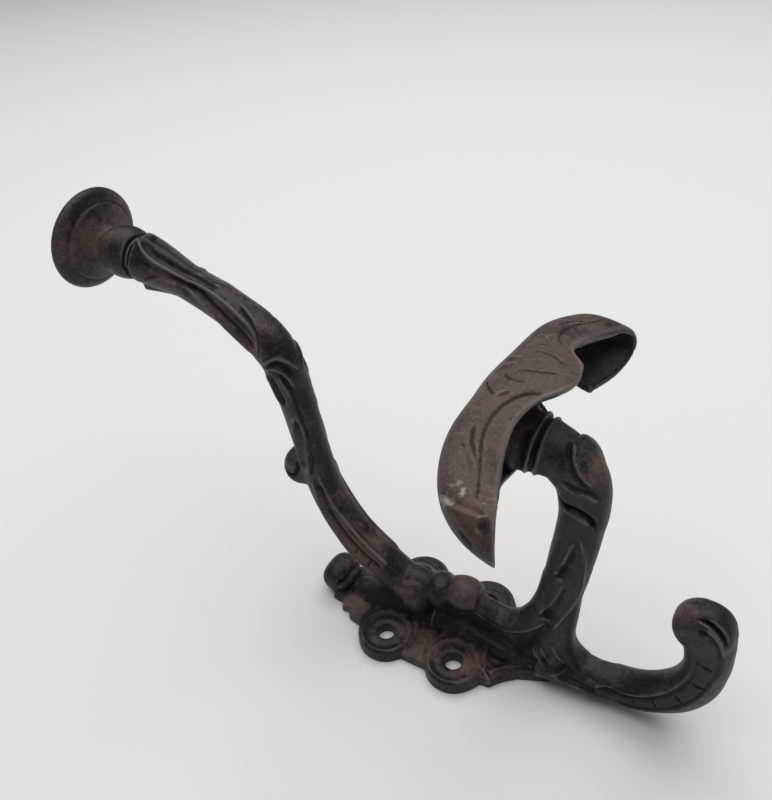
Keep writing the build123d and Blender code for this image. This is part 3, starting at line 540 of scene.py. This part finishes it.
HOOK_LINE = [(42.0, 7.0), (52.0, 8.4), (61.0, 8.6), (70.0, 9.5), (79.2, 12.7), (86.6, 18.3),
             (91.3, 26.0), (93.2, 35.0), (92.6, 45.0), (90.6, 53.0)]
HOOK_HALF_THICK = [6.0, 6.3, 6.2, 6.5, 7.3, 7.7, 7.2, 6.8, 7.4, 8.8]
HOOK_HALF_WIDE = [7.4, 7.2, 6.3, 5.7, 5.6, 5.6, 5.6, 5.6, 5.6, 5.4]
CROOK_LINE = [(50.0, 32.0), (49.9, 23.7), (50.8, 19.3), (53.2, 15.6), (56.9, 13.0), (61.3, 11.9),
              (69.0, 11.4)]
CROOK_HALF_THICK = [2.4, 2.4]
CROOK_HALF_WIDE = [4.6, 5.0, 5.0, 4.0]
SCROLL_AT, SCROLL_HALF_LENGTH, SCROLL_R = (89.9, 0.0, 53.0), 5.8, 9.1

skin("lower hook", limb_rings(HOOK_LINE, HOOK_HALF_THICK, HOOK_HALF_WIDE, count=120))
skin("crook", limb_rings(CROOK_LINE, CROOK_HALF_THICK, CROOK_HALF_WIDE, count=40))
skin("hook scroll", turned_rings(SCROLL_AT, (0, 1, 0), drum(SCROLL_HALF_LENGTH, SCROLL_R, 0.7, 0.6)))

hook_marks = [
    # The inner and the outer edge of the sunk panel.
    ("leaf", 1.0, 2.0, [(61.5, -6, 10), (65, -5.5, 12), (68, -5, 13), (71.5, -5, 13), (75, -5, 14),
                        (83.5, -5, 21), (89.5, -4.5, 33), (90, -5.5, 46)]),
    ("leaf", 0.8, 1.4, [(88.5, -5.5, 57.5), (90, -5.5, 58), (92.5, -5.5, 57), (94.5, -5.5, 55),
                        (97, -4.5, 45), (96, -5, 34.5), (90, -5.5, 19), (84, -5, 12.5), (76, -5, 8),
                        (68, -5.5, 7.5)]),
    # The eye of the scroll.
    ("groove", 2.0, 0.7, [(87, -4.5, 60), (88.5, -4.5, 60.5), (92.5, -4.5, 59.5), (95.5, -5, 57),
                          (97, -4.5, 53.5)]),
    ("groove", 1.4, 0.8, [(88, -5.5, 57), (90.5, -5.5, 56.5), (92, -5.5, 56)]),
    ("groove", 0.7, 0.7, [(82.5, -4, 50), (84.5, -4.5, 48.5), (86.5, -5.5, 48.5), (88.5, -5.5, 49.5)]),
    # A shallow hollow behind the panel, and a rib with its groove along the foot.
    ("groove", 0.8, 1.2, [(56, -4.5, 13.5), (60, -4.5, 13), (69, -5.5, 11.5)]),
    ("ridge", 0.8, 0.9, [(45, -6, 11), (51, -7, 9.5), (62.5, -6, 7.5), (69, -6, 7.5)]),
    ("groove", 0.7, 0.8, [(51, -7, 12), (56, -6.5, 10.5), (65, -6, 9)]),
]
# The notches across the panel, from its inner edge to its outer one.
NOTCHES = [((75, 14.5), (75.5, 9)), ((80.5, 17.5), (83, 11.5)), ((86, 24), (90.5, 20)),
           ((89.5, 32.5), (95.5, 31.5)), ((90.5, 42.5), (96.5, 41))]
hook_marks += [("groove", 0.7, 0.5, [(x, -5.2, z) for x, z in ends]) for ends in NOTCHES]


# ---- Casting ----------------------------------------------------------------------------------
# All the forms were one pattern, so they are fused here, and the corners between them fill in a
# little, as sand and iron leave them.

VOXEL = 0.37
CORNER_PULL, CORNER_ROUNDS = 0.5, 6
CARVING_PULL, CARVING_ROUNDS = 0.3, 2
FILED_BACK = 0.25
SHELL_FAR_TIP = 49.0
MOST_TRIANGLES = 196000

graph = bpy.context.evaluated_depsgraph_get()
joined = bmesh.new()
for form in forms:
    form.data.update()
    solid = bpy.data.meshes.new_from_object(form.evaluated_get(graph))
    joined.from_mesh(solid)
mesh = bpy.data.meshes.new("casting")
joined.to_mesh(mesh)
joined.free()
casting = bpy.data.objects.new("casting", mesh)
bpy.context.collection.objects.link(casting)
for spare in forms + drills:
    bpy.data.objects.remove(spare)


def apply_modifiers(piece):
    """Keeps what a piece's modifiers make of its mesh, and removes them."""
    graph = bpy.context.evaluated_depsgraph_get()
    mesh = bpy.data.meshes.new_from_object(piece.evaluated_get(graph))
    piece.modifiers.clear()
    piece.data = mesh


fused = casting.modifiers.new("fuse", "REMESH")
fused.mode, fused.voxel_size, fused.use_smooth_shade = "VOXEL", VOXEL / 1000, True
apply_modifiers(casting)


def read(mesh):
    """Points in millimetres, outward normals, and edges of a mesh, as arrays."""
    points = np.empty(3 * len(mesh.vertices), np.float32)
    normals = np.empty(3 * len(mesh.vertices), np.float32)
    edges = np.empty(2 * len(mesh.edges), np.int32)
    mesh.vertices.foreach_get("co", points)
    mesh.vertex_normals.foreach_get("vector", normals)
    mesh.edges.foreach_get("vertices", edges)
    points = points.reshape(-1, 3).astype(float) * 1000
    return points, normals.reshape(-1, 3).astype(float), edges.reshape(-1, 2)


def write(mesh, points):
    """Puts points in millimetres back into a mesh."""
    mesh.vertices.foreach_set("co", (points / 1000).astype(np.float32).ravel())
    mesh.update()


def relax(points, edges, pull, rounds):
    """Moves each point towards the mean of its neighbours by its own share, some rounds over."""
    a, b = edges.T
    near = np.bincount(edges.ravel(), minlength=len(points))[:, None]
    for _ in range(rounds):
        total = np.stack([np.bincount(a, column[b], len(points)) + np.bincount(b, column[a], len(points))
                          for column in points.T], -1)
        points = points + pull * (total / near - points)
    return points


points, normals, edges = read(casting.data)
write(casting.data, relax(points, edges, CORNER_PULL, CORNER_ROUNDS))
points, normals, edges = read(casting.data)


def near_side(points, vectors):
    """Mirrors the vectors that belong to points beyond the middle plane over to its near side."""
    return vectors * np.where(points[:, 1:2] > 0, [1, -1, 1], [1, 1, 1])


# The carving is the same on both sides of the middle plane. The shell's was cut before it leaned
# over, so it is worked out upright, and it leaves out the far tip.
marks = plate_marks + root_marks + upper_marks + middle_marks + hook_marks
height = carve(near_side(points, points), near_side(points, normals), marks)
stood, facing = tilted(points, -SHELL_TILT, SHELL_CENTRE), tilted(normals, -SHELL_TILT)
marks = [(*kind, tilted(line, -SHELL_TILT, SHELL_CENTRE)) for *kind, line in shell_marks]
on_shell = carve(near_side(stood, stood), near_side(stood, facing), marks)
height += on_shell * fade((SHELL_FAR_TIP - stood[:, 1]) / 6.0)
points = relax(points + normals * height[:, None], edges, CARVING_PULL, CARVING_ROUNDS)

# The back is filed flat, and no point passes the box of the solids.
points[points[:, 2] < FILED_BACK, 2] = 0.0
write(casting.data, np.clip(points, *(1000 * np.array(before))))
casting.data.calc_loop_triangles()
thin = casting.modifiers.new("thin", "DECIMATE")
thin.ratio = min(1.0, MOST_TRIANGLES / len(casting.data.loop_triangles))
apply_modifiers(casting)
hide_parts("coat_hook")
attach(casting, "root")


# ---- Iron -------------------------------------------------------------------------------------
# Old grey iron under a worn black finish: bluish where the black still lies smooth, red-brown
# where rust has come through, greyer and smoother on the crests that hands have rubbed. Their
# lighter colour is also a painted highlight, and the hollows get painted shade.

# Where the rust shows and where the iron is rubbed bare: the middle, the radius and how much.
BROWN = [((-76.0, 5.5, 119.0), 9.0, 0.9), ((-64.0, 6.0, 112.0), 6.0, 0.7), ((-43.0, 6.0, 50.0), 6.0, 0.8),
         ((-36.0, 6.2, 40.0), 7.0, 1.0), ((-27.0, 6.4, 30.0), 8.0, 1.0), ((-51.0, 5.5, 74.0), 6.0, 1.0),
         ((-50.0, 5.5, 64.0), 6.0, 0.9), ((-35.0, 1.0, 52.0), 5.0, 0.4), ((-8.0, 4.0, 18.0), 6.0, 0.8),
         ((-4.0, 11.0, 5.0), 6.0, 0.8), ((-14.0, 15.0, 6.0), 6.0, 0.6), ((-32.0, 12.0, 4.0), 6.0, 0.7),
         ((23.0, 14.0, 5.0), 6.0, 0.5), ((0.0, 16.0, 4.0), 7.0, 0.7), ((14.0, 4.0, 26.0), 7.0, 0.7),
         ((60.0, 4.0, 14.0), 12.0, 0.25), ((84.0, 3.0, 60.0), 4.0, 0.7), ((-132.0, 9.0, 136.0), 14.0, 0.75),
         ((-118.0, 6.0, 131.0), 7.0, 0.35), ((-100.0, 5.0, 126.0), 8.0, 0.8), ((34.0, 9.0, 130.0), 20.0, 1.0),
         ((28.0, 30.0, 128.0), 15.0, 0.7), ((29.0, 42.0, 126.0), 12.0, 1.1), ((55.0, 3.0, 101.0), 5.0, 0.6),
         ((52.0, 5.0, 88.0), 4.0, 0.4), ((28.0, 5.0, 20.0), 7.0, 0.5)]
RUBBED = [((33.5, -48.6, 125.0), 3.6, 0.85), ((31.5, -50.4, 123.4), 3.2, 0.85),
          ((41.6, -46.0, 123.6), 4.6, 0.7), ((40.6, -50.0, 123.6), 3.4, 0.66),
          ((43.2, -41.5, 122.5), 3.0, 0.74), ((44.0, -46.0, 121.8), 2.6, 0.74)]
# The radius of the painted highlight along the shell's front rim.
RIM_HIGHLIGHT_RADIUS = 0.8

# The colours of the black finish, of the rust and of the iron where it shows.
BLACK_DARK, BLACK_LIGHT = (0.003, 0.0035, 0.006, 1), (0.012, 0.0115, 0.014, 1)
BLACK_GRAIN = (0.05, 0.046, 0.046, 1)
RUST_DARK, RUST_LIGHT = (0.034, 0.0225, 0.0205, 1), (0.11, 0.076, 0.067, 1)
RUST_GRAIN, RUST_BLOTCH = (0.17, 0.13, 0.12, 1), (0.13, 0.07, 0.05, 1)
# On the next line: the crests' light colour, partly rubbed wear and partly a painted highlight; then the
# painted shade of the hollows; then the pits.
CREST_WEAR_AND_HIGHLIGHT, HOLLOW_SHADE, PIT = (0.16, 0.137, 0.125, 1), (0.004, 0.0035, 0.004, 1), (0.01, 0.008, 0.008, 1)
BARE_IRON = (0.36, 0.32, 0.285, 1)

# How much of each shows where it is strongest.
BLACK_GRAIN_SHARE, RUST_GRAIN_SHARE, RUST_BLOTCH_SHARE = 0.42, 0.5, 0.7
CREST_WEAR_AND_HIGHLIGHT_SHARE, HOLLOW_SHADE_SHARE, PIT_SHARE = 0.65, 0.7, 0.25


def patches(points, places):
    """How much of a stain is at each point: the strongest of soft round patches, each full at its
    middle and gone at one and a half times its radius."""
    share = [much * fade(1.5 - np.linalg.norm(points - at, axis=1) / radius) for at, radius, much in places]
    return np.max(share, axis=0)


def bend(points, normals, edges):
    """How sharply the surface bends at each point, in 1/mm, above 0 on a ridge: twice the height
    over the mean of its neighbours, over the mean square of their distances."""
    a, b = edges.T
    square = ((points[a] - points[b]) ** 2).sum(1)
    spread = np.bincount(a, square, len(points)) + np.bincount(b, square, len(points))
    spread /= np.bincount(edges.ravel(), minlength=len(points))
    rise = ((points - relax(points, edges, 1.0, 1)) * normals).sum(1)
    return relax((2 * rise / spread)[:, None], edges, 0.6, 2)[:, 0]


# The ridges and the shell's front rim are lightened, partly as rubbed wear and partly as a painted
# highlight; the hollows are darkened as painted shade; and rust comes on both sides, on faces that
# don't look down.
points, normals, edges = read(casting.data)
bent = bend(points, normals, edges)
rim = tilted(sections[::2, [1, 0, 2]], SHELL_TILT, SHELL_CENTRE)
rim_highlight = patches(points, [(place, RIM_HIGHLIGHT_RADIUS, 1.0) for place in rim])
brown = np.maximum(patches(points, BROWN), patches(points * (1, -1, 1), BROWN))
# Crests and the shell's front rim: rubbed wear and a painted highlight.
wear_and_painted_light = {"crest_wear_and_highlight": np.maximum(fade((bent - 0.16) / 0.4), rim_highlight),
        # The hollows: painted shade.
        "hollow_shade": fade((-bent - 0.02) / 0.2),
        "brown": brown * fade((normals[:, 2] + 0.5) / 0.7),
        "rubbed": patches(points, RUBBED)}
for name, value in wear_and_painted_light.items():
    layer = casting.data.attributes.new(name, "FLOAT", "POINT")
    layer.data.foreach_set("value", value.astype(np.float32))


def add(tree, kind, values=(), **settings):
    """A new node. values are (socket, number, colour or socket to join it to)."""
    node = tree.nodes.new("ShaderNode" + kind)
    for key, setting in settings.items():
        setattr(node, key, setting)
    for socket, value in values:
        if isinstance(value, bpy.types.NodeSocket):
            tree.links.new(value, node.inputs[socket])
        else:
            node.inputs[socket].default_value = value
    return node


def mixed(tree, share, first, second):
    """The colour between two colours, at a share from 0 to 1, from a Mix node's colour sockets."""
    return add(tree, "Mix", [(0, share), (6, first), (7, second)], data_type="RGBA").outputs[2]


def reckon(tree, operation, *values):
    """The result of one sum on numbers or sockets."""
    return add(tree, "Math", list(enumerate(values)), operation=operation).outputs[0]


def ramp(tree, value, low, high):
    """0 where the value is at low, 1 where it is at high, in proportion between, and no further."""
    return add(tree, "MapRange", [("Value", value), ("From Min", low), ("From Max", high)]).outputs[0]


def noise(tree, place, scale, detail, roughness):
    """Cloudy noise from 0 to 1, with scale clouds to a metre."""
    values = [("Vector", place), ("Scale", scale), ("Detail", detail), ("Roughness", roughness)]
    return add(tree, "TexNoise", values).outputs["Fac"]


def new_group(name, inputs, outputs):
    """An empty shader node group with named number or colour sockets."""
    tree = bpy.data.node_groups.new(name, "ShaderNodeTree")
    for socket, kind in inputs:
        tree.interface.new_socket(socket, in_out="INPUT", socket_type="NodeSocket" + kind)
    for socket, kind in outputs:
        tree.interface.new_socket(socket, in_out="OUTPUT", socket_type="NodeSocket" + kind)
    return tree


# Sand grain: two sizes of noise for the skin of the casting, with a few scattered round pits.
outputs = [("Height", "Float"), ("Pits", "Float"), ("Speckle", "Float")]
grain = new_group("sand grain", [("Position", "Vector")], outputs)
given, made = grain.nodes.new("NodeGroupInput"), grain.nodes.new("NodeGroupOutput")
place = given.outputs["Position"]
fine = noise(grain, place, scale=1100, detail=5, roughness=0.7)
coarse = noise(grain, place, scale=330, detail=4, roughness=0.6)
cells = add(grain, "TexVoronoi", [("Vector", place), ("Scale", 900), ("Randomness", 1)])
few = ramp(grain, cells.outputs["Color"], 0.84, 0.9)
pits = reckon(grain, "MULTIPLY", ramp(grain, cells.outputs["Distance"], 0.34, 0.12), few)
height = reckon(grain, "MULTIPLY_ADD", fine, 0.45, reckon(grain, "MULTIPLY", coarse, 0.8))
grain.links.new(reckon(grain, "MULTIPLY_ADD", pits, -0.4, height), made.inputs["Height"])
grain.links.new(pits, made.inputs["Pits"])
grain.links.new(ramp(grain, fine, 0.47, 0.66), made.inputs["Speckle"])

iron = bpy.data.materials.new("old cast iron")
iron.use_nodes = True
tree = iron.node_tree
shader = tree.nodes["Principled BSDF"]
place = add(tree, "TexCoord").outputs["Object"]
sand = add(tree, "Group", [("Position", place)], node_tree=grain)
crest_wear_and_highlight, hollow_shade, brown, rubbed = (add(tree, "Attribute", attribute_name=name).outputs["Fac"] for name in wear_and_painted_light)
clouds = noise(tree, place, scale=70, detail=6, roughness=0.62)
specks = noise(tree, place, scale=420, detail=5, roughness=0.7)

# The black finish, and the rust where it has come through: in clouds with a speckled edge.
black = mixed(tree, clouds, BLACK_DARK, BLACK_LIGHT)
black = mixed(tree, reckon(tree, "MULTIPLY", sand.outputs["Speckle"], BLACK_GRAIN_SHARE), black, BLACK_GRAIN)
rust = mixed(tree, specks, RUST_DARK, RUST_LIGHT)
rust = mixed(tree, reckon(tree, "MULTIPLY", sand.outputs["Speckle"], RUST_GRAIN_SHARE), rust, RUST_GRAIN)
blotch = reckon(tree, "MULTIPLY", ramp(tree, clouds, 0.54, 0.68), RUST_BLOTCH_SHARE)
rust = mixed(tree, blotch, rust, RUST_BLOTCH)
spread = reckon(tree, "ADD", brown, reckon(tree, "MULTIPLY_ADD", clouds, 2.4, -1.2))
through = ramp(tree, reckon(tree, "MULTIPLY_ADD", specks, 1.6, spread), 0.85, 1.65)
colour = mixed(tree, through, black, rust)

# Rubbed crests with a painted highlight, painted shade in the hollows, a few scratched places of
# bare iron, and the pits.
# Painted highlight, with rubbed wear, on the crests and the shell's front rim.
colour = mixed(tree, reckon(tree, "MULTIPLY", crest_wear_and_highlight, CREST_WEAR_AND_HIGHLIGHT_SHARE), colour, CREST_WEAR_AND_HIGHLIGHT)
# Painted shade: the hollows are darkened to near black.
colour = mixed(tree, reckon(tree, "MULTIPLY", hollow_shade, HOLLOW_SHADE_SHARE), colour, HOLLOW_SHADE)
scratched = reckon(tree, "ADD", rubbed, reckon(tree, "MULTIPLY_ADD", specks, 3.2, -2.0))
bare = ramp(tree, reckon(tree, "MULTIPLY", scratched, rubbed), 0.25, 0.75)
colour = mixed(tree, bare, colour, BARE_IRON)
colour = mixed(tree, reckon(tree, "MULTIPLY", sand.outputs["Pits"], PIT_SHARE), colour, PIT)
tree.links.new(colour, shader.inputs["Base Color"])
tree.links.new(reckon(tree, "MULTIPLY", bare, 0.8), shader.inputs["Metallic"])

# The black is the smoothest, and the hollows the dullest.
shader.inputs["Specular IOR Level"].default_value = 0.28
dull = reckon(tree, "MULTIPLY_ADD", specks, 0.3, reckon(tree, "MULTIPLY_ADD", through, 0.12, 0.27))
dull = reckon(tree, "MULTIPLY_ADD", hollow_shade, 0.25, dull)
tree.links.new(reckon(tree, "MULTIPLY_ADD", crest_wear_and_highlight, -0.06, dull), shader.inputs["Roughness"])
bumps = add(tree, "Bump", [("Strength", 0.9), ("Distance", 0.0004), ("Height", sand.outputs["Height"])])
tree.links.new(bumps.outputs["Normal"], shader.inputs["Normal"])
casting.data.materials.append(iron)
casting.data.shade_smooth()


# ---- Table and light --------------------------------------------------------------------------
# The hook lies on a pale paper sheet. A wide soft window above it gives the broad sheen on the
# iron, and the room round it is dimmer and a little bluer.

PAPER = (0.77, 0.77, 0.765, 1)
ROOM, ROOM_STRENGTH = (0.92, 0.96, 1, 1), 0.14
WINDOW_AT, WINDOW_SIZE, WINDOW_WATTS, WINDOW_COLOUR = (-0.1, 0.25, 1.6), 2.2, 38, (1.0, 0.99, 0.97)

bpy.ops.mesh.primitive_plane_add(size=12)
floor = bpy.context.object
floor.name = "table"
paper = bpy.data.materials.new("white paper")
paper.use_nodes = True
shader = paper.node_tree.nodes["Principled BSDF"]
shader.inputs["Base Color"].default_value = PAPER
shader.inputs["Roughness"].default_value = 0.9
shader.inputs["Specular IOR Level"].default_value = 0.1
floor.data.materials.append(paper)

world = bpy.data.worlds.new("studio")
bpy.context.scene.world = world
world.use_nodes = True
world.node_tree.nodes["Background"].inputs["Color"].default_value = ROOM
world.node_tree.nodes["Background"].inputs["Strength"].default_value = ROOM_STRENGTH

# The window is turned to face the middle of the plate.
lamp = bpy.data.lights.new("window", "AREA")
lamp.size, lamp.energy, lamp.color = WINDOW_SIZE, WINDOW_WATTS, WINDOW_COLOUR
window = bpy.data.objects.new("window", lamp)
window.location = WINDOW_AT
window.rotation_euler = (-Vector(WINDOW_AT)).to_track_quat("-Z", "Y").to_euler()
bpy.context.collection.objects.link(window)


# ---- Camera -----------------------------------------------------------------------------------
# It stands in front of the near side, about 300 mm off, looks down on the hook and is tipped a
# little to one side. Its place is given along its own right, up and back, in metres.

AZIMUTH, ELEVATION, ROLL = np.radians([33.2, 36.8, -4.6])
SHIFT_RIGHT, SHIFT_UP, DISTANCE = -0.0200, 0.0859, 0.3070

level = np.cos(ELEVATION)
back = np.array([np.sin(AZIMUTH) * level, -np.cos(AZIMUTH) * level, np.sin(ELEVATION)])
right = np.array([np.cos(AZIMUTH), np.sin(AZIMUTH), 0])
up = np.cross(back, right)
right, up = np.cos(ROLL) * right + np.sin(ROLL) * up, np.cos(ROLL) * up - np.sin(ROLL) * right
place = SHIFT_RIGHT * right + SHIFT_UP * up + DISTANCE * back
lens = bpy.data.cameras.new("camera")
lens.lens, lens.sensor_width = 36, 36
lens.clip_start, lens.clip_end = 0.01, 20
camera = bpy.data.objects.new("camera", lens)
camera.matrix_world = Matrix(np.vstack([np.column_stack([right, up, back, place]), [0, 0, 0, 1]]).tolist())
bpy.context.collection.objects.link(camera)
bpy.context.scene.camera = camera
bpy.context.scene.view_settings.view_transform = "Standard"
